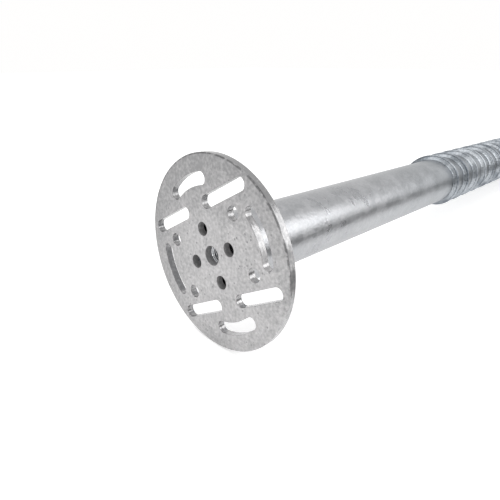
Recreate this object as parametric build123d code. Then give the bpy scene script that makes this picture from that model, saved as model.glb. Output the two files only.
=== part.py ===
from build123d import *
from math import atan2, ceil, cos, degrees, radians, sin
import os

# A flanged foundation ground screw, in millimetres.
# Every piece is first made on the screw's own axis: +Z runs from the outer face of the
# flange (Z = 0) to the tip, and +Y is the flange's own "up". The whole screw is then laid
# on the floor as it comes to rest, with its axis near +X, the tip a little lower than the
# flange, and the origin at the centre of the flange's outer face.

# ---- driving dimensions ----------------------------------------------------------------

# flange plate
FLANGE_DIAMETER = 200.0
FLANGE_THICKNESS = 8.0
FLANGE_EDGE_BREAK = 0.6
CENTRE_HOLE_DIAMETER = 20.0
CENTRE_HOLE_EDGE_BREAK = 0.5
BOLT_HOLE_DIAMETER = 14.0
INNER_PCD = 56.0
OUTER_PCD = 117.0
OUTER_HOLE_ANGLE = 30.0
SLOT_WIDTH = 13.0
STRAIGHT_SLOT_LENGTH = 65.0
STRAIGHT_SLOT_X = 45.25
STRAIGHT_SLOT_Y = 50.0
ARC_SLOT_RADIUS = 76.0
ARC_SLOT_HALF_ANGLE = 17.6

# shaft: a round tube swaged down to a closed point
TUBE_DIAMETER = 76.1
TUBE_WALL = 3.0
SCREW_LENGTH = 1600.0
CONE_LENGTH = 350.0
POINT_LENGTH = 36.0
POINT_DIAMETER = 20.0
NOSE_RADIUS = 4.0
POINT_SOLID_LENGTH = 24.0
SWAGE_BLEND = 160.0

# helical blade: a flat strip on edge, wound right-handed and welded round the tube
BLADE_START = 489.0
BLADE_START_ANGLE = 30.0
BLADE_PITCH = 46.5
BLADE_HEIGHT = 7.5
BLADE_THICKNESS = 4.0
BLADE_ROOT_GAP = 0.1
BLADE_TIP_SETBACK = 60.0

# nut behind the centre hole, and the weld ring behind the flange
NUT_THREAD_MAJOR = 20.0
NUT_THREAD_MINOR = 17.3
NUT_ACROSS_FLATS = 30.0
NUT_HEIGHT = 16.0
NUT_MOUTH_DEPTH = 1.2
FLANGE_WELD_LEG = 5.0

# how the screw lies
FLANGE_ROLL = -30.0

# ---- sizes that follow -----------------------------------------------------------------

FLANGE_RADIUS = FLANGE_DIAMETER / 2
TUBE_RADIUS = TUBE_DIAMETER / 2
CONE_START = SCREW_LENGTH - CONE_LENGTH
POINT_START = SCREW_LENGTH - POINT_LENGTH
CONE_RUN = POINT_START - CONE_START
CONE_SLOPE = (TUBE_RADIUS - POINT_DIAMETER / 2) / CONE_RUN
CONE_ANGLE = degrees(atan2(CONE_SLOPE, 1))
BLADE_END = SCREW_LENGTH - BLADE_TIP_SETBACK


def flange_plate():
    """The round plate with its bolt holes, its four straight slots and its four arc slots."""
    with BuildPart() as plate:
        with BuildSketch():
            Circle(FLANGE_RADIUS)
        extrude(amount=FLANGE_THICKNESS)
        chamfer(plate.edges(), length=FLANGE_EDGE_BREAK)
        with BuildSketch():
            Circle(CENTRE_HOLE_DIAMETER / 2)
            with PolarLocations(INNER_PCD / 2, 4):
                Circle(BOLT_HOLE_DIAMETER / 2)
            for side in (0, 180):
                for angle in (-OUTER_HOLE_ANGLE, OUTER_HOLE_ANGLE):
                    with PolarLocations(OUTER_PCD / 2, 1, start_angle=side + angle):
                        Circle(BOLT_HOLE_DIAMETER / 2)
            with GridLocations(2 * STRAIGHT_SLOT_X, 2 * STRAIGHT_SLOT_Y, 2, 2):
                SlotOverall(STRAIGHT_SLOT_LENGTH, SLOT_WIDTH)
            for middle in (0, 90, 180, 270):
                first = middle - ARC_SLOT_HALF_ANGLE
                path = CenterArc((0, 0), ARC_SLOT_RADIUS, first, 2 * ARC_SLOT_HALF_ANGLE)
                SlotArc(path, SLOT_WIDTH)
        extrude(amount=FLANGE_THICKNESS, mode=Mode.SUBTRACT)
        rims = plate.edges().filter_by(GeomType.CIRCLE)
        centre_rims = [e for e in rims if abs(e.radius - CENTRE_HOLE_DIAMETER / 2) < 1e-6]
        chamfer(centre_rims, length=CENTRE_HOLE_EDGE_BREAK)
    return plate.part


def shaft_tube():
    """One length of tube, swaged to a long cone and closed to a forged point."""
    outer_end = POINT_DIAMETER / 2
    inner_end = SCREW_LENGTH - POINT_LENGTH - POINT_SOLID_LENGTH
    inner_radius = TUBE_RADIUS - TUBE_WALL
    inner_end_radius = inner_radius - CONE_SLOPE * (inner_end - CONE_START)
    with BuildPart() as tube:
        with BuildSketch(Plane.XZ):
            with BuildLine():
                Polyline(
                    (0, FLANGE_THICKNESS),
                    (TUBE_RADIUS, FLANGE_THICKNESS),
                    (TUBE_RADIUS, CONE_START),
                    (outer_end, POINT_START),
                    (NOSE_RADIUS, SCREW_LENGTH),
                    (0, SCREW_LENGTH),
                    close=True,
                )
            make_face()
            corners = vertices().sort_by(Axis.Z)
            fillet([v for v in corners if abs(v.Z - CONE_START) < 1e-6], radius=SWAGE_BLEND)
            fillet([v for v in vertices() if v.X > 1e-6 and abs(v.Z - SCREW_LENGTH) < 1e-6],
                   radius=NOSE_RADIUS * 0.9)
        revolve(axis=Axis.Z)
        with BuildSketch(Plane.XZ):
            with BuildLine():
                Polyline(
                    (0, FLANGE_THICKNESS),
                    (inner_radius, FLANGE_THICKNESS),
                    (inner_radius, CONE_START),
                    (inner_end_radius, inner_end),
                    (0, inner_end),
                    close=True,
                )
            make_face()
        revolve(axis=Axis.Z, mode=Mode.SUBTRACT)
    return tube.part


def tube_radius_at(station):
    """The tube's outer radius, on its straight length and on its cone."""
    return TUBE_RADIUS - CONE_SLOPE * max(0, station - CONE_START)


def helix(radius, start, length, angle, cone_angle):
    """One corner line of the blade: a right-hand helix on the tube or on its cone."""
    pitch = BLADE_PITCH / cos(radians(cone_angle))
    line = Edge.make_helix(pitch, length, radius, (0, 0, start), (0, 0, 1), -cone_angle)
    return line.rotate(Axis.Z, angle).edge()


def blade_spans():
    """The blade's run, cut at the cone's start and then turn by turn: (start, length)."""
    spans = []
    for first, last in ((BLADE_START, CONE_START), (CONE_START, BLADE_END)):
        turns = ceil((last - first) / BLADE_PITCH)
        for turn in range(turns):
            start = first + turn * BLADE_PITCH
            spans.append((start, min(BLADE_PITCH, last - start)))
    return spans


def helical_blade():
    """A flat strip on edge, wound round the tube and down its cone. Each turn's four sides
    are ruled between the helices of the strip's corners, which are given as height over
    the tube and place along the axis."""
    corners = (
        (BLADE_ROOT_GAP, 0),
        (BLADE_HEIGHT, 0),
        (BLADE_HEIGHT, BLADE_THICKNESS),
        (BLADE_ROOT_GAP, BLADE_THICKNESS),
    )
    faces = []
    turns = []
    for start, length in blade_spans():
        angle = BLADE_START_ANGLE + 360 * (start - BLADE_START) / BLADE_PITCH
        cone_angle = CONE_ANGLE if start >= CONE_START else 0
        lines = [
            helix(tube_radius_at(start) + height, start + along, length, angle, cone_angle)
            for height, along in corners
        ]
        for line, after in zip(lines, lines[1:] + lines[:1]):
            faces.append(Face.make_surface_from_curves(line, after))
        turns.append(lines)
    faces.append(Face(Wire.make_polygon([line @ 0 for line in turns[0]], close=True)))
    faces.append(Face(Wire.make_polygon([line @ 1 for line in turns[-1]], close=True)))
    return Solid(Shell(faces))


def centre_nut():
    """A plain hex nut with a countersunk mouth at each end, bored to the thread's crests."""
    minor = NUT_THREAD_MINOR / 2
    major = NUT_THREAD_MAJOR / 2
    front = FLANGE_THICKNESS
    back = FLANGE_THICKNESS + NUT_HEIGHT
    with BuildPart() as nut:
        with BuildSketch(Plane.XY.offset(front)):
            RegularPolygon(NUT_ACROSS_FLATS / 2, 6, major_radius=False)
        extrude(amount=NUT_HEIGHT)
        with BuildSketch(Plane.XZ):
            with BuildLine():
                Polyline(
                    (0, front),
                    (major, front),
                    (minor, front + NUT_MOUTH_DEPTH),
                    (minor, back - NUT_MOUTH_DEPTH),
                    (major, back),
                    (0, back),
                    close=True,
                )
            make_face()
        revolve(axis=Axis.Z, mode=Mode.SUBTRACT)
    return nut.part


def flange_weld():
    """The fillet weld that runs all round between the tube and the back of the flange."""
    back = FLANGE_THICKNESS
    with BuildPart() as weld:
        with BuildSketch(Plane.XZ):
            with BuildLine():
                Polyline(
                    (TUBE_RADIUS, back),
                    (TUBE_RADIUS + FLANGE_WELD_LEG, back),
                    (TUBE_RADIUS, back + FLANGE_WELD_LEG),
                    close=True,
                )
            make_face()
        revolve(axis=Axis.Z)
    return weld.part


def lying_place():
    """Where the screw's own axis frame goes when it lies on the floor: it stands on the
    flange's lower back edge, and dips until the first turn of the blade meets the floor."""
    turns_to_floor = (270 - FLANGE_ROLL - BLADE_START_ANGLE) % 360 / 360
    first_floor_turn = BLADE_START + turns_to_floor * BLADE_PITCH
    turn_count = int((BLADE_END - first_floor_turn) // BLADE_PITCH) + 1
    flange_foot = FLANGE_THICKNESS - FLANGE_EDGE_BREAK
    dips = []
    for turn in range(turn_count):
        station = first_floor_turn + turn * BLADE_PITCH
        run = station + BLADE_THICKNESS - flange_foot
        edge_radius = tube_radius_at(station) + BLADE_HEIGHT
        dips.append(atan2(FLANGE_RADIUS - edge_radius, run))
    dip = min(dips)
    axis = Plane(origin=(0, 0, 0), x_dir=(0, 1, 0), z_dir=(cos(dip), 0, -sin(dip)))
    return axis.location * Location((0, 0, 0), (0, 0, FLANGE_ROLL))


PIECES = {
    "flange_plate": flange_plate,
    "shaft_tube": shaft_tube,
    "helical_blade": helical_blade,
    "centre_nut": centre_nut,
    "flange_weld": flange_weld,
}

os.makedirs("parts", exist_ok=True)
LYING = lying_place()
for name, make in PIECES.items():
    piece = LYING * make()
    export_step(piece, f"parts/{name}.step")
    print(name, "valid", piece.is_valid, "volume", round(piece.volume, 1))
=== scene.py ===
import math
import bpy
import numpy as np
from mathutils import Matrix, Vector
from mathutils.geometry import delaunay_2d_cdt


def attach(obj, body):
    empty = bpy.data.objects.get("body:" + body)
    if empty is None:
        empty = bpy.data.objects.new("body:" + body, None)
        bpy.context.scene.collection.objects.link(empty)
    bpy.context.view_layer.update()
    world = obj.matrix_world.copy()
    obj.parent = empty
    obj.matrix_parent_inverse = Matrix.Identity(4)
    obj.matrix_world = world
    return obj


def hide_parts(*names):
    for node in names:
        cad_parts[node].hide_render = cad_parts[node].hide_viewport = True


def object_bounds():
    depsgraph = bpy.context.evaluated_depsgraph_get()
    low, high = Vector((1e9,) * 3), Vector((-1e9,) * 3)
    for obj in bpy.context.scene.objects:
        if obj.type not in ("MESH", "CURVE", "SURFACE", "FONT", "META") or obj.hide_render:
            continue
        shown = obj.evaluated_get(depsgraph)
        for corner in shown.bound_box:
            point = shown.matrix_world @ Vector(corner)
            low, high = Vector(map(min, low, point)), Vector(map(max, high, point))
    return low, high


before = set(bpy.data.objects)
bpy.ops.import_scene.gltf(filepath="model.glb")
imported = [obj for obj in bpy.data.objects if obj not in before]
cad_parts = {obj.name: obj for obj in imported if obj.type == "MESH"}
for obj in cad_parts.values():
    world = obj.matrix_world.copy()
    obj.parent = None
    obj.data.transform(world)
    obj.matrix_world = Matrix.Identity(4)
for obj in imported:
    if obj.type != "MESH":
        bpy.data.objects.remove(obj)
cad_low, cad_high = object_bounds()


# ---- shaft --------------------------------------------------------------------------------
# One length of round steel tube, swaged down to a long cone and forged shut at the point,
# then hot-dip galvanised with everything that is welded to it. Its own axes, z from the
# flange's face to the tip, are the ones that every other piece is worked out in.

DIP = math.radians(2.5379)
ROLL = math.radians(-30.0)
TUBE_RADIUS = 0.03805
TUBE_WALL = 0.003
TUBE_START = 0.008
CONE_START = 1.25
POINT_START = 1.564
POINT_RADIUS = 0.010
TIP_RADIUS = 0.004
CONE_BLEND = 0.012
POINT_BLEND = 0.006
NOSE_START = 1.5964
NOSE_RADIUS = 0.0036
NOSE_OFFSET = 0.00095
HOLLOW_END = 1.540
SCREW_LENGTH = 1.6
TUBE_SIDES = 144
CONE_SLOPE = (TUBE_RADIUS - POINT_RADIUS) / (POINT_START - CONE_START)


def laid(x, y, z):
    """Points on the screw's own axes, moved to where it lies: (x, y) turned by the roll,
    then z laid along +X with its dip, x across it and y upwards."""
    across = x * math.cos(ROLL) - y * math.sin(ROLL)
    above = x * math.sin(ROLL) + y * math.cos(ROLL)
    return np.stack(
        [
            above * math.sin(DIP) + z * math.cos(DIP),
            across,
            above * math.cos(DIP) - z * math.sin(DIP),
        ],
        axis=-1,
    )


def grid_faces(rows, columns, rows_close, columns_close):
    """Quads between the neighbours of a grid whose points are numbered row by row; a
    closing direction joins its last line to its first."""
    row = np.arange(rows if rows_close else rows - 1)[:, None]
    column = np.arange(columns if columns_close else columns - 1)[None, :]
    row_after = (row + 1) % rows
    column_after = (column + 1) % columns
    corners = [
        row * columns + column,
        row * columns + column_after,
        row_after * columns + column_after,
        row_after * columns + column,
    ]
    return np.stack(np.broadcast_arrays(*corners), axis=-1).reshape(-1, 4)


def end_faces(rows, columns):
    """The two faces that close such a grid at its first and last rows."""
    last = columns * (rows - 1)
    return [list(range(columns - 1, -1, -1)), list(range(last, last + columns))]


def steel_piece(name, points, faces, smooth, finish, slot, *nodes):
    """A mesh of the points and faces, with its finish, riding with the CAD model's body in
    place of the named CAD nodes."""
    mesh = bpy.data.meshes.new(name)
    mesh.from_pydata(points.reshape(-1, 3).tolist(), [], [list(face) for face in faces])
    mesh.polygons.foreach_set("use_smooth", np.broadcast_to(smooth, len(faces)).astype(bool))
    mesh.validate()
    mesh.materials.append(finish)
    piece = bpy.data.objects.new(name, mesh)
    bpy.context.scene.collection.objects.link(piece)
    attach(piece, "root")
    if nodes:
        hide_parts(*nodes)


class Wire:
    """A socket of a finish's node tree. Sums on it add Math nodes; add() adds any other."""

    def __init__(self, tree, socket=None):
        self.tree = tree
        self.socket = socket

    def add(self, kind, output, settings, sockets):
        """A new node of the kind: its settings first, then the value or link of each of
        its sockets; returns its named output, where it has one."""
        node = self.tree.nodes.new("ShaderNode" + kind)
        for setting, value in settings.items():
            setattr(node, setting, value)
        for socket, value in sockets.items():
            if isinstance(value, Wire):
                self.tree.links.new(value.socket, node.inputs[socket])
            else:
                node.inputs[socket].default_value = value
        return Wire(self.tree, None if output is None else node.outputs[output])

    def sum_of(self, operation, first, second):
        return self.add("Math", 0, {"operation": operation}, {0: first, 1: second})

    def __add__(self, other):
        return self.sum_of("ADD", self, other)

    def __radd__(self, other):
        return self.sum_of("ADD", other, self)

    def __sub__(self, other):
        return self.sum_of("SUBTRACT", self, other)

    def __rsub__(self, other):
        return self.sum_of("SUBTRACT", other, self)

    def __mul__(self, other):
        return self.sum_of("MULTIPLY", self, other)

    def __rmul__(self, other):
        return self.sum_of("MULTIPLY", other, self)

    def part(self, letter):
        """One of the three numbers of a place or direction."""
        return self.add("SeparateXYZ", letter, {}, {"Vector": self})

    def ramp(self, low, high):
        """0 below low, 1 above high and an S-curve between; low above high turns it round."""
        return self.add(
            "MapRange",
            0,
            {"interpolation_type": "SMOOTHSTEP"},
            {"Value": self, "From Min": low, "From Max": high},
        )

    def noise(self, scale, detail, warp=0.0):
        """Smooth noise about 0.5 at this place, with scale patches to the metre."""
        return self.add(
            "TexNoise", 0, {},
            {"Vector": self, "Scale": scale, "Detail": detail, "Distortion": warp},
        )

    def from_line(self, beside=(0.0, 0.0)):
        """How far this place is from the screw's axis, or from a line beside it."""
        flat = self.add(
            "Mapping", 0, {},
            {"Vector": self, "Location": (0.0, *beside), "Scale": (0.0, 1.0, 1.0)},
        )
        return self.add("VectorMath", "Value", {"operation": "LENGTH"}, {0: flat})


def bare_tree(owner):
    """The emptied node tree of a material or a world."""
    owner.use_nodes = True
    owner.node_tree.nodes.clear()
    return Wire(owner.node_tree)


def zinc(name, light_tone, dark_tone, mottle, speckle, roughness, bump, tooth,
         metallic=0.88, marks_at=None):
    """Hot-dip zinc. Its tone goes from dark to light by slow mottling, crystal patches and
    fine grain; further from the flange it is more mottled, duller and bluer. The mottling
    and the crystals change its roughness, and the mottling and the grain make its bumps.
    marks_at takes a place, x along the screw's axis, and returns what a piece has besides:
    additions to its tone, height, roughness and metallic, and a mask of where it is darkened:
    painted shade, and on the plate's rim a burr as well."""
    finish = bpy.data.materials.new(name)
    blank = bare_tree(finish)
    place = blank.add("TexCoord", "Object", {}, {})
    axial = blank.add("Mapping", 0, {}, {"Vector": place, "Rotation": (0, -DIP, 0)})
    patches = axial.noise(26.0, 5.0, 0.2)
    crystal_colour = blank.add("TexVoronoi", "Color", {}, {"Vector": axial, "Scale": 110.0})
    crystals = blank.add("SeparateColor", 0, {}, {"Color": crystal_colour})
    grain = axial.noise(300.0, 4.0)
    dulled = axial.part("X").ramp(0.18, 0.50)
    marks = marks_at(axial) if marks_at else {}
    tone = (
        0.5
        + marks.get("tone", 0)
        + (patches - 0.5) * (dulled + 1.0) * mottle
        + (crystals - 0.5) * (0.35 * mottle)
        + (grain - 0.5) * speckle
    )
    colour = blank.add(
        "Mix", 2, {"data_type": "RGBA", "clamp_factor": True},
        {0: tone, 6: (*dark_tone, 1), 7: (*light_tone, 1)},
    )
    tints = [(dulled, (0.82, 0.845, 0.86, 1))]
    # The dark tint is painted shade, and on the plate's rim partly a burr
    if "dark" in marks:
        tints.append((marks["dark"], (0.10, 0.105, 0.11, 1)))
    for mask, tint in tints:
        colour = blank.add(
            "Mix", 2, {"data_type": "RGBA", "blend_type": "MULTIPLY"},
            {0: mask, 6: colour, 7: tint},
        )
    rough = (
        roughness + marks.get("roughness", 0) + dulled * 0.06
        + (patches - 0.5) * 0.26 + (crystals - 0.5) * 0.08
    )
    height = patches * 0.9 + marks.get("height", 0) + grain * tooth
    normal = blank.add(
        "Bump", 0, {}, {"Strength": bump, "Distance": 0.0006, "Height": height}
    )
    shade = blank.add("BsdfPrincipled", 0, {}, {
        "Base Color": colour,
        "Roughness": rough,
        "Metallic": metallic + marks.get("metallic", 0),
        "Normal": normal,
    })
    blank.add("OutputMaterial", None, {}, {"Surface": shade})
    return finish


def tube_marks(axial):
    """Wipe marks that run round the tube, and painted shade on the inside of its hollow: what
    is nearer the axis than the wall, as far as the cone, whose outside comes as near."""
    stretched = axial.add("Mapping", 0, {}, {"Vector": axial, "Scale": (150.0, 16.0, 16.0)})
    wipes = stretched.noise(1.0, 4.0, 0.35)
    # painted shade: the inside of the hollow is tinted dark where the shade falls
    hollow = axial.from_line().ramp(0.0370, 0.0355) * axial.part("X").ramp(1.20, 1.15)
    return {"tone": (wipes - 0.5) * 0.35, "height": wipes * 0.0875, "dark": hollow}


def tube_radius(z):
    """The tube's outer radius along its axis: straight, then a cone, then the point, with
    each change of slope rounded by averaging the straight lines over a short length."""
    spread = np.linspace(-0.5, 0.5, 41)
    blend = np.interp(z, [CONE_START, POINT_START], [CONE_BLEND, POINT_BLEND])
    stations = z[:, None] + spread * blend[:, None]
    knots = [0, CONE_START, POINT_START, SCREW_LENGTH]
    radii = [TUBE_RADIUS, TUBE_RADIUS, POINT_RADIUS, TIP_RADIUS]
    return np.interp(stations, knots, radii).mean(1)


# Rows of points from the hollow's blind end back to the flange, then down the outside,
# closer together where the slope changes, and round the nose.
outer_z = np.concatenate(
    [
        np.linspace(TUBE_START, CONE_START - 0.01, 130, endpoint=False),
        np.linspace(CONE_START - 0.01, CONE_START + 0.01, 16, endpoint=False),
        np.linspace(CONE_START + 0.01, POINT_START - 0.006, 60, endpoint=False),
        np.linspace(POINT_START - 0.006, NOSE_START - 0.0006, 24),
    ]
)
nose_turn = np.radians(np.linspace(12, 90, 10))
inner_z = np.array([HOLLOW_END, CONE_START, 0.9, 0.5, 0.2, 0.05, TUBE_START])
inner_r = TUBE_RADIUS - TUBE_WALL - CONE_SLOPE * np.maximum(0, inner_z - CONE_START)
tube_z = np.concatenate([inner_z, outer_z, NOSE_START + NOSE_RADIUS * np.sin(nose_turn)])
tube_r = np.concatenate(
    [inner_r, tube_radius(outer_z), NOSE_OFFSET + NOSE_RADIUS * np.cos(nose_turn)]
)
around = np.linspace(0, 2 * np.pi, TUBE_SIDES, endpoint=False)
tube_points = laid(
    tube_r[:, None] * np.cos(around),
    tube_r[:, None] * np.sin(around),
    np.broadcast_to(tube_z[:, None], (len(tube_z), TUBE_SIDES)),
)
tube_faces = grid_faces(len(tube_z), TUBE_SIDES, False, True).tolist()
tube_zinc = zinc(
    "tube_zinc", light_tone=(0.53, 0.535, 0.55), dark_tone=(0.33, 0.34, 0.355),
    mottle=0.90, speckle=0.80, roughness=0.32, bump=0.60, tooth=1.0, marks_at=tube_marks,
)
steel_piece(
    "shaft", tube_points, tube_faces + end_faces(len(tube_z), TUBE_SIDES),
    np.append(np.ones(len(tube_faces)), [0, 0]), tube_zinc, "galvanised_steel", "shaft_tube",
)


# ---- flange -------------------------------------------------------------------------------
# A round plate cut from 8 mm steel, with round bolt holes, four straight slots and four
# arc slots. Every cut edge is a little rounded by the zinc.

PLATE_RADIUS = 0.100
PLATE_THICKNESS = 0.008
EDGE_ROUND = 0.0006
CENTRE_HOLE_RADIUS = 0.010
BOLT_HOLE_RADIUS = 0.007
INNER_HOLES_AT = 0.028
OUTER_HOLES_AT = 0.0585
SLOT_RADIUS = 0.0065
STRAIGHT_SLOT_LENGTH = 0.065
STRAIGHT_SLOT_X = 0.04525
STRAIGHT_SLOT_Y = 0.050
ARC_SLOTS_AT = 0.076
ARC_SLOT_HALF_ANGLE = 17.6
RIDGE_HEIGHT = 0.00012
RIDGE_DEPTH = 0.0038
RIDGE_WIDTH = 0.0006


def circle_cut(x, y, radius, steps):
    """A circle round (x, y), and its outward directions."""
    turn = np.linspace(0, 2 * np.pi, steps, endpoint=False)
    away = np.stack([np.cos(turn), np.sin(turn)], axis=-1)
    return np.array([x, y]) + radius * away, away


def straight_slot_cut(x, y, length, steps=24):
    """Two half circles joined by straight sides, and their outward directions."""
    half = length / 2 - SLOT_RADIUS
    turn = np.radians(np.linspace(-90, 90, steps))
    turns = np.concatenate([turn, turn + np.pi])
    away = np.stack([np.cos(turns), np.sin(turns)], axis=-1)
    ends = np.repeat([[half, 0.0], [-half, 0.0]], steps, axis=0)
    return np.array([x, y]) + ends + SLOT_RADIUS * away, away


def arc_slot_cut(middle, radius, half_angle, steps=24):
    """A band along an arc round the plate's centre, with half-circle ends: outer side, far
    end, inner side, near end, each with its outward direction."""
    sweep = np.radians(np.linspace(-half_angle, half_angle, steps)) + math.radians(middle)
    cap = np.radians(np.linspace(0, 180, steps))[1:-1]
    outer = np.stack([np.cos(sweep), np.sin(sweep)], axis=-1)
    far = np.stack([np.cos(sweep[-1] + cap), np.sin(sweep[-1] + cap)], axis=-1)
    near = np.stack([np.cos(sweep[0] + np.pi + cap), np.sin(sweep[0] + np.pi + cap)], axis=-1)
    points = np.concatenate(
        [
            outer * (radius + SLOT_RADIUS),
            outer[-1] * radius + far * SLOT_RADIUS,
            outer[::-1] * (radius - SLOT_RADIUS),
            outer[0] * radius + near * SLOT_RADIUS,
        ]
    )
    return points, np.concatenate([outer, far, -outer[::-1], near])


def wound_round(loop, points):
    """True for each point inside the loop: a ray along +x crosses the loop's sides an odd
    number of times."""
    x, y = points[:, 0, None], points[:, 1, None]
    x0, y0 = loop.T
    x1, y1 = np.roll(loop, -1, axis=0).T
    steep = np.where(y1 == y0, 1e-12, y1 - y0)
    crosses = ((y0 > y) != (y1 > y)) & (x < x0 + (y - y0) / steep * (x1 - x0))
    return crosses.sum(axis=1) % 2 == 1


cuts = [
    circle_cut(0, 0, PLATE_RADIUS, 240),
    circle_cut(0, 0, CENTRE_HOLE_RADIUS, 64),
]
bolt_holes = (
    ((0, 90, 180, 270), INNER_HOLES_AT),
    ((-30, 30, 150, 210), OUTER_HOLES_AT),
)
for angles, distance in bolt_holes:
    for turn in np.radians(angles):
        x, y = distance * math.cos(turn), distance * math.sin(turn)
        cuts.append(circle_cut(x, y, BOLT_HOLE_RADIUS, 56))
for x in (-STRAIGHT_SLOT_X, STRAIGHT_SLOT_X):
    for y in (-STRAIGHT_SLOT_Y, STRAIGHT_SLOT_Y):
        cuts.append(straight_slot_cut(x, y, STRAIGHT_SLOT_LENGTH))
for middle in (0, 90, 180, 270):
    cuts.append(arc_slot_cut(middle, ARC_SLOTS_AT, ARC_SLOT_HALF_ANGLE))

# Down each cut edge: a quarter round, a wall with a low ridge where the cutting tool broke
# through, and the same quarter round at the back.
bend = np.radians(np.linspace(0, 90, 7))
lip_in = np.concatenate([[EDGE_ROUND * 1.15], EDGE_ROUND * (1 - np.sin(bend))])
lip_down = np.concatenate([[0.0], EDGE_ROUND * (1 - np.cos(bend))])
wall_down = np.linspace(0.15, 0.85, 11) * PLATE_THICKNESS
wall_in = RIDGE_HEIGHT * (1 - np.exp(-(((wall_down - RIDGE_DEPTH) / RIDGE_WIDTH) ** 2)))
inset = np.concatenate([lip_in, wall_in, lip_in[::-1]])
depth = np.concatenate([lip_down, wall_down, PLATE_THICKNESS - lip_down[::-1]])

plate_points, plate_faces, front_rings, back_rings = [], [], [], []
count = 0
for number, (loop, away) in enumerate(cuts):
    into_steel = -away if number == 0 else away
    ring = loop[None] + inset[:, None, None] * into_steel[None]
    height = np.broadcast_to(depth[:, None], ring.shape[:2])
    plate_points.append(laid(ring[..., 0], ring[..., 1], height).reshape(-1, 3))
    faces = grid_faces(len(inset), len(loop), False, True) + count
    plate_faces.append(faces if number == 0 else faces[:, ::-1])
    front_rings.append((ring[0], count))
    back_rings.append((ring[-1], count + (len(inset) - 1) * len(loop)))
    count += ring.shape[0] * ring.shape[1]
walls = np.concatenate(plate_faces)

# The flat of the plate: its rings are joined by triangles, and those in an opening go.
flat = np.concatenate([ring for ring, _ in front_rings])
sides, first = [], 0
for ring, _ in front_rings:
    step = np.arange(len(ring))
    sides.append(np.stack([step, (step + 1) % len(ring)], axis=-1) + first)
    first += len(ring)
_, _, triangles, origins, _, _ = delaunay_2d_cdt(
    [Vector(point) for point in flat], np.concatenate(sides).tolist(), [], 0, 1e-7
)
triangles = np.array(triangles)
origin = np.array([where[0] for where in origins])[triangles]
middles = flat[origin].mean(axis=1)
kept = wound_round(front_rings[0][0], middles)
for ring, _ in front_rings[1:]:
    kept &= ~wound_round(ring, middles)
origin = origin[kept]
corner = flat[origin]
edge_a, edge_b = corner[:, 1] - corner[:, 0], corner[:, 2] - corner[:, 0]
clockwise = edge_a[:, 0] * edge_b[:, 1] - edge_a[:, 1] * edge_b[:, 0] < 0
origin[clockwise] = origin[clockwise][:, ::-1]
front_number = np.concatenate([start + np.arange(len(ring)) for ring, start in front_rings])
back_number = np.concatenate([start + np.arange(len(ring)) for ring, start in back_rings])
front, back = front_number[origin][:, ::-1], back_number[origin]
face_list = walls.tolist() + front.tolist() + back.tolist()
smooth = np.concatenate([np.ones(len(walls)), np.zeros(2 * len(origin))])


def plate_marks(axial):
    """The plate is darker away from a point low on its face, as painted shade. Its cut edges
    are darker and smoother; those that open into the tube are darker still with painted
    shade, and rough, and those of the other openings are less metallic. A broken dark line,
    partly burr and partly painted shade, follows the upper front edge of its rim. Small dark
    pits lie in groups."""
    pit_far = axial.add("TexVoronoi", 0, {}, {"Vector": axial, "Scale": 170.0})
    pits = pit_far.ramp(0.22, 0.10) * axial.noise(48.0, 1.0).ramp(0.46, 0.60)
    facing = axial.add("TexCoord", "Normal", {}, {}).part("X")
    wall = (facing * facing).ramp(0.75, 0.25)
    from_axis = axial.from_line()
    # In the tone, inner darkens the walls that open into the tube as painted shade; in
    # roughness and metallic it is their own finish
    inner = wall * from_axis.ramp(0.0370, 0.0355)
    slot_wall = wall * from_axis.ramp(0.0985, 0.0975) - inner
    # painted shade: the face's tone darkens away from a point low on it
    painted_face_shade = axial.from_line((0.018, 0.03)).ramp(0.050, 0.130)
    # A broken dark line on the rim's upper front edge: partly burr, partly painted shade,
    # kept to the upper side
    burr_and_edge_shade = (
        axial.part("X").ramp(0.0018, 0.0009) * from_axis.ramp(0.0980, 0.0990)
        * axial.part("Z").ramp(-0.02, 0.03) * axial.noise(130.0, 4.0).ramp(0.40, 0.52)
    )
    return {
        "tone": wall * -0.162 - painted_face_shade * 0.36 - inner * 0.18 - pits * 1.9,
        "height": pits * -0.38,
        "roughness": inner * 0.36 - wall * 0.225,
        "metallic": inner * -0.36 - slot_wall * 0.0675,
        "dark": burr_and_edge_shade * 0.585,
    }


plate_zinc = zinc(
    "plate_zinc", light_tone=(0.68, 0.67, 0.675), dark_tone=(0.30, 0.30, 0.305),
    mottle=0.55, speckle=1.35, roughness=0.42, bump=0.40, tooth=0.20, metallic=0.62,
    marks_at=plate_marks,
)
steel_piece(
    "flange", np.concatenate(plate_points), face_list, smooth,
    plate_zinc, "galvanised_steel", "flange_plate",
)


# ---- nut ----------------------------------------------------------------------------------
# A plain M20 hex nut on the back of the flange, behind the centre hole. Its corners are
# turned off at 30 degrees and its thread has a countersunk mouth at each end.

NUT_HEIGHT = 0.016
NUT_HALF_FLATS = 0.015
NUT_FACE_RADIUS = 0.985 * NUT_HALF_FLATS
NUT_BEVEL = math.radians(30)
THREAD_PITCH = 0.0025
THREAD_MINOR = 0.00865
THREAD_MAJOR = 0.0100
THREAD_FLAT = 0.06
THREAD_FLANK = 0.30
MOUTH = 0.0012

# The hexagon's radius is its half flats over the cosine of the angle from the nearest flat,
# and each end is turned off to a cone outside the face radius.
nut_turn = np.linspace(0, 2 * np.pi, 144, endpoint=False)
hexagon = NUT_HALF_FLATS / np.cos((nut_turn + np.pi / 6) % (np.pi / 3) - np.pi / 6)
turned_off = np.minimum(hexagon, NUT_FACE_RADIUS)
bevel = np.maximum(0, hexagon - NUT_FACE_RADIUS) * math.tan(NUT_BEVEL)
rim_r = [turned_off, hexagon, hexagon, turned_off]
rim_z = [0 * bevel, bevel, NUT_HEIGHT - bevel, NUT_HEIGHT + 0 * bevel]

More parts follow.
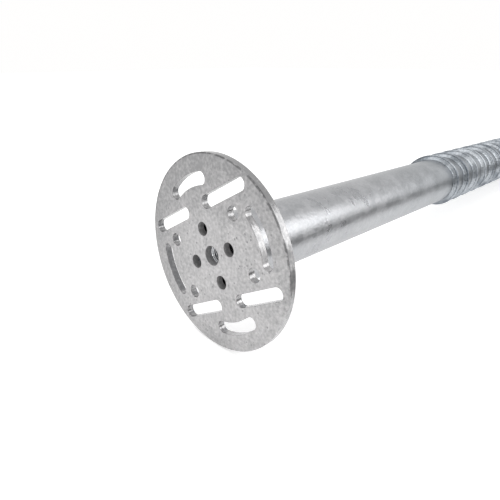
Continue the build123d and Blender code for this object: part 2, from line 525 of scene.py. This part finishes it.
# The bore is a V thread with flat crests and roots: its depth follows the place along the
# lead, and a cone opens it at each mouth.
bore_z = np.linspace(NUT_HEIGHT, 0, 110)
lead = (bore_z[:, None] / THREAD_PITCH - nut_turn / (2 * np.pi)) % 1
flank = np.clip((np.abs(lead - 0.5) - THREAD_FLAT) / THREAD_FLANK, 0, 1)
thread = THREAD_MAJOR + (THREAD_MINOR - THREAD_MAJOR) * flank
from_end = np.minimum(bore_z, NUT_HEIGHT - bore_z)
mouth = THREAD_MAJOR - from_end / MOUTH * (THREAD_MAJOR - THREAD_MINOR)
bore_r = np.maximum(thread, mouth[:, None])
nut_r = np.concatenate([bore_r, rim_r])
nut_z = np.concatenate([np.broadcast_to(bore_z[:, None], bore_r.shape), rim_z])
nut_points = laid(
    nut_r * np.cos(nut_turn), nut_r * np.sin(nut_turn), nut_z + PLATE_THICKNESS
)
nut_zinc = zinc(
    "nut_zinc", light_tone=(0.74, 0.75, 0.77), dark_tone=(0.50, 0.51, 0.53),
    mottle=0.4, speckle=0.3, roughness=0.22, bump=0.10, tooth=0.05, metallic=0.75,
)
nut_faces = grid_faces(len(nut_r), len(nut_turn), True, True)
nut_row = np.repeat(np.arange(len(nut_r)), len(nut_turn))
steel_piece(
    "nut", nut_points, nut_faces, nut_row < len(bore_r) - 1,
    nut_zinc, "galvanised_nut", "centre_nut",
)


# ---- flange weld --------------------------------------------------------------------------
# The fillet weld that runs once round the tube on the back of the flange: a convex bead
# laid down in overlapping crescents, under the same zinc.

FLANGE_WELD_LEG = 0.0050
FLANGE_WELD_BULGE = 0.16
FLANGE_WELD_RIPPLE = 0.0004
FLANGE_WELD_CRESCENTS = 96
DIAGONAL = 0.707
CRESCENT_LAG = 0.35
CRESCENT_DROP = 6


def bead_section(leg, bulge, steps):
    """Across a fillet bead, as (out along the plate, up along the tube): a line between its
    two toes that bulges by a share of its leg, or sinks, then back through the corner that
    it fills. The third row weighs its ripples: 1 at the middle, 0 at the toes."""
    across = np.linspace(0, 1, steps)
    belly = bulge * leg * np.sin(np.pi * across)
    out = np.append(leg * (1 - across) + belly * DIAGONAL, 0.0)
    up = np.append(leg * across + belly * DIAGONAL, 0.0)
    return out, up, np.append(np.sin(np.pi * across), 0.0)


def ripples(along, weight, wave):
    """The height of a bead's crescents at a distance along it: each rises slowly and drops
    to the next, and trails behind at the toes."""
    phase = (along / wave + CRESCENT_LAG * (1 - weight)) % 1
    return phase * np.clip((1 - phase) * CRESCENT_DROP, 0, 1) * weight


def uneven(along, seed, *waves):
    """A slow wander: the mean of a few sines of the given lengths with random phases."""
    phases = np.random.default_rng(seed).uniform(0, 2 * np.pi, len(waves))
    return sum(np.sin(2 * np.pi * along / w + p) for w, p in zip(waves, phases)) / len(waves)


out, up, weight = bead_section(FLANGE_WELD_LEG, FLANGE_WELD_BULGE, 12)
weld_turn = np.linspace(0, 2 * np.pi, 960, endpoint=False)[:, None]
crescent = 2 * np.pi * TUBE_RADIUS / FLANGE_WELD_CRESCENTS
swell = FLANGE_WELD_RIPPLE * ripples(weld_turn * TUBE_RADIUS, weight, crescent)
weld_r = TUBE_RADIUS + out + swell
weld_z = PLATE_THICKNESS + up + swell
weld_zinc = zinc(
    "weld_zinc", light_tone=(0.66, 0.675, 0.70), dark_tone=(0.29, 0.31, 0.335),
    mottle=1.5, speckle=1.1, roughness=0.36, bump=0.80, tooth=0.60,
)
steel_piece(
    "flange_weld_bead",
    laid(weld_r * np.cos(weld_turn), weld_r * np.sin(weld_turn), weld_z),
    grid_faces(len(weld_turn), len(out), True, True)[:, ::-1], True,
    weld_zinc, "galvanised_weld", "flange_weld",
)


# ---- blade --------------------------------------------------------------------------------
# A flat strip stood on edge and wound right-handed round the tube and down its cone. Its
# corners are rounded by the rolling and the zinc.

BLADE_START = 0.489
BLADE_END = 1.540
BLADE_PITCH = 0.0465
BLADE_START_TURN = math.radians(30)
BLADE_HEIGHT = 0.0075
BLADE_THICKNESS = 0.004
BLADE_ROOT_GAP = 0.0001
BLADE_CORNER = 0.0014


def down_helix(steps_per_turn):
    """Places along the blade: distance along the axis, angle round it and tube radius."""
    turns = (BLADE_END - BLADE_START) / BLADE_PITCH
    z = np.linspace(BLADE_START, BLADE_END, int(turns * steps_per_turn) + 1)
    turn = BLADE_START_TURN + 2 * np.pi * (z - BLADE_START) / BLADE_PITCH
    radius = TUBE_RADIUS - CONE_SLOPE * np.maximum(0, z - CONE_START)
    return z[:, None], turn[:, None], radius[:, None]


# The strip's section, as height over the tube and place along it: up one side, round the
# two corners of its edge and down the other.
quarter = np.radians(np.linspace(0, 90, 5))
high = BLADE_HEIGHT - BLADE_CORNER
deep = BLADE_THICKNESS - BLADE_CORNER
side_r = [BLADE_ROOT_GAP, 0.45 * BLADE_HEIGHT]
section_r = np.concatenate(
    [side_r, high + BLADE_CORNER * np.sin(quarter), high + BLADE_CORNER * np.cos(quarter),
     side_r[::-1]]
)
section_z = np.concatenate(
    [[0, 0], BLADE_CORNER * (1 - np.cos(quarter)), deep + BLADE_CORNER * np.sin(quarter),
     [BLADE_THICKNESS, BLADE_THICKNESS]]
)
blade_z, blade_turn, blade_root = down_helix(96)
blade_r = blade_root + section_r
blade_points = laid(
    blade_r * np.cos(blade_turn), blade_r * np.sin(blade_turn), blade_z + section_z
)
blade_sides = grid_faces(len(blade_z), len(section_r), False, True)
blade_faces = blade_sides.tolist() + end_faces(len(blade_z), len(section_r))
blade_zinc = zinc(
    "blade_zinc", light_tone=(0.64, 0.66, 0.69), dark_tone=(0.27, 0.29, 0.32),
    mottle=1.7, speckle=1.1, roughness=0.30, bump=0.85, tooth=0.60,
)
steel_piece(
    "blade", blade_points, [face[::-1] for face in blade_faces],
    np.append(np.ones(len(blade_sides)), [0, 0]),
    blade_zinc, "galvanised_steel", "helical_blade",
)


# ---- blade weld ---------------------------------------------------------------------------
# A small fillet weld holds the blade's root on each side, all the way along, with the same
# crescents as the weld at the flange.

BLADE_WELD_LEG = 0.0055
BLADE_WELD_SINK = 0.14
BLADE_WELD_RIPPLE = 0.0003
BLADE_WELD_CRESCENT = 0.0056
BLADE_WELD_WANDER = 0.12

for side, name in ((-1, "blade_weld_front"), (1, "blade_weld_back")):
    out, up, weight = bead_section(BLADE_WELD_LEG, -BLADE_WELD_SINK, 7)
    bead_z, bead_turn, bead_root = down_helix(240)
    along = bead_turn * TUBE_RADIUS
    swell = BLADE_WELD_RIPPLE * ripples(along, weight, BLADE_WELD_CRESCENT)
    size = 1 + BLADE_WELD_WANDER * uneven(along, 3 + side, 0.031, 0.083, 0.170)
    foot_z = bead_z + (BLADE_THICKNESS if side > 0 else 0)
    bead_r = bead_root + up * size + swell
    bead_points = laid(
        bead_r * np.cos(bead_turn),
        bead_r * np.sin(bead_turn),
        foot_z + side * (out * size + swell),
    )
    bead_faces = grid_faces(len(bead_z), len(out), False, True)
    face_list = bead_faces.tolist() + end_faces(len(bead_z), len(out))
    if side < 0:
        face_list = [face[::-1] for face in face_list]
    steel_piece(
        name, bead_points, face_list, np.append(np.ones(len(bead_faces)), [0, 0]),
        weld_zinc, "galvanised_weld",
    )


# ---- floor, light and camera --------------------------------------------------------------
# A white floor under a pale sky, a soft lamp low on the near side, a broad one overhead, a
# small one in front of the flange, and a low dark card for the zinc to reflect.

FLOOR_REACH = 12.0
FLOOR_GAP = 0.0002


def stage_sheet(name, corners, finish):
    """A flat sheet with four corners that is not part of the screw."""
    mesh = bpy.data.meshes.new(name)
    mesh.from_pydata(corners, [], [(0, 1, 2, 3)])
    mesh.materials.append(finish)
    sheet = bpy.data.objects.new(name, mesh)
    bpy.context.scene.collection.objects.link(sheet)
    return sheet


ground = cad_low.z - FLOOR_GAP
white_floor = bpy.data.materials.new("white_floor")
blank = bare_tree(white_floor)
rays = ("Is Camera Ray", "Is Glossy Ray", "Is Transmission Ray")
seen = sum(blank.add("LightPath", ray, {}, {}) for ray in rays)
lift = blank.add("Emission", 0, {}, {"Color": (1, 1, 1, 1), "Strength": seen * 0.42})
paint = blank.add("BsdfDiffuse", 0, {}, {"Color": (0.85, 0.85, 0.85, 1)})
floor_shade = blank.add("AddShader", 0, {}, {0: paint, 1: lift})
blank.add("OutputMaterial", None, {}, {"Surface": floor_shade})
stage_sheet(
    "floor",
    [(-FLOOR_REACH, -FLOOR_REACH, ground), (FLOOR_REACH, -FLOOR_REACH, ground),
     (FLOOR_REACH, FLOOR_REACH, ground), (-FLOOR_REACH, FLOOR_REACH, ground)],
    white_floor,
)

sky = bpy.data.worlds.new("sky")
blank = bare_tree(sky)
direction = blank.add("TexCoord", "Generated", {}, {})
upward = direction.part("Z")
sky_tone = 1.0 - 0.18 * upward.ramp(0.10, 0.35)
low_band = upward.ramp(0.04, 0.16) * upward.ramp(0.55, 0.30)
behind = 1.0 - 0.40 * direction.part("X").ramp(0.20, -0.75) * low_band
sky_light = blank.add(
    "Background", 0, {}, {"Color": (1.0, 0.995, 0.99, 1), "Strength": sky_tone * behind}
)
blank.add("OutputWorld", None, {}, {"Surface": sky_light})
bpy.context.scene.world = sky


def soft_lamp(name, place, target, width, height, watts):
    """A rectangular lamp at a place, turned to face its target."""
    lamp = bpy.data.lights.new(name, "AREA")
    lamp.shape = "RECTANGLE"
    lamp.size, lamp.size_y, lamp.energy = width, height, watts
    holder = bpy.data.objects.new(name, lamp)
    bpy.context.scene.collection.objects.link(holder)
    holder.location = place
    aim = Vector(target) - Vector(place)
    holder.rotation_euler = aim.to_track_quat("-Z", "Y").to_euler()


soft_lamp("near_strip", (0.69, -0.67, 0.41), (0.05, -0.02, 0.0), 0.58, 0.54, 2.3)
soft_lamp("camera_side", (-0.84, -0.55, 0.34), (0.0, 0.0, 0.0), 0.30, 0.30, 1.1)
soft_lamp("overhead", (0.2, 0.3, 1.6), (0.3, 0.0, 0.0), 1.6, 1.2, 7.0)

dark_grey = bpy.data.materials.new("dark_card")
blank = bare_tree(dark_grey)
card_shade = blank.add("BsdfPrincipled", 0, {}, {"Base Color": (0.13, 0.13, 0.13, 1)})
blank.add("OutputMaterial", None, {}, {"Surface": card_shade})
card = stage_sheet(
    "dark_card",
    [(0.06, -0.19, ground), (2.6, -0.21, ground), (2.6, -0.21, ground + 0.10),
     (0.06, -0.19, ground + 0.09)],
    dark_grey,
)
card.visible_camera = False
card.visible_shadow = False
card.visible_diffuse = False

camera = bpy.data.cameras.new("camera")
camera.lens, camera.sensor_width = 30.012, 36.0
camera.clip_start = 0.01
viewer = bpy.data.objects.new("camera", camera)
bpy.context.scene.collection.objects.link(viewer)
viewer.matrix_world = (
    Matrix.Translation((-0.23295, -0.29018, 0.17468))
    @ Matrix.Rotation(math.radians(45.446 - 90), 4, "Z")
    @ Matrix.Rotation(math.radians(90 - 24.475), 4, "X")
    @ Matrix.Rotation(math.radians(-0.315), 4, "Z")
)
bpy.context.scene.camera = viewer
bpy.context.scene.view_settings.view_transform = "Standard"
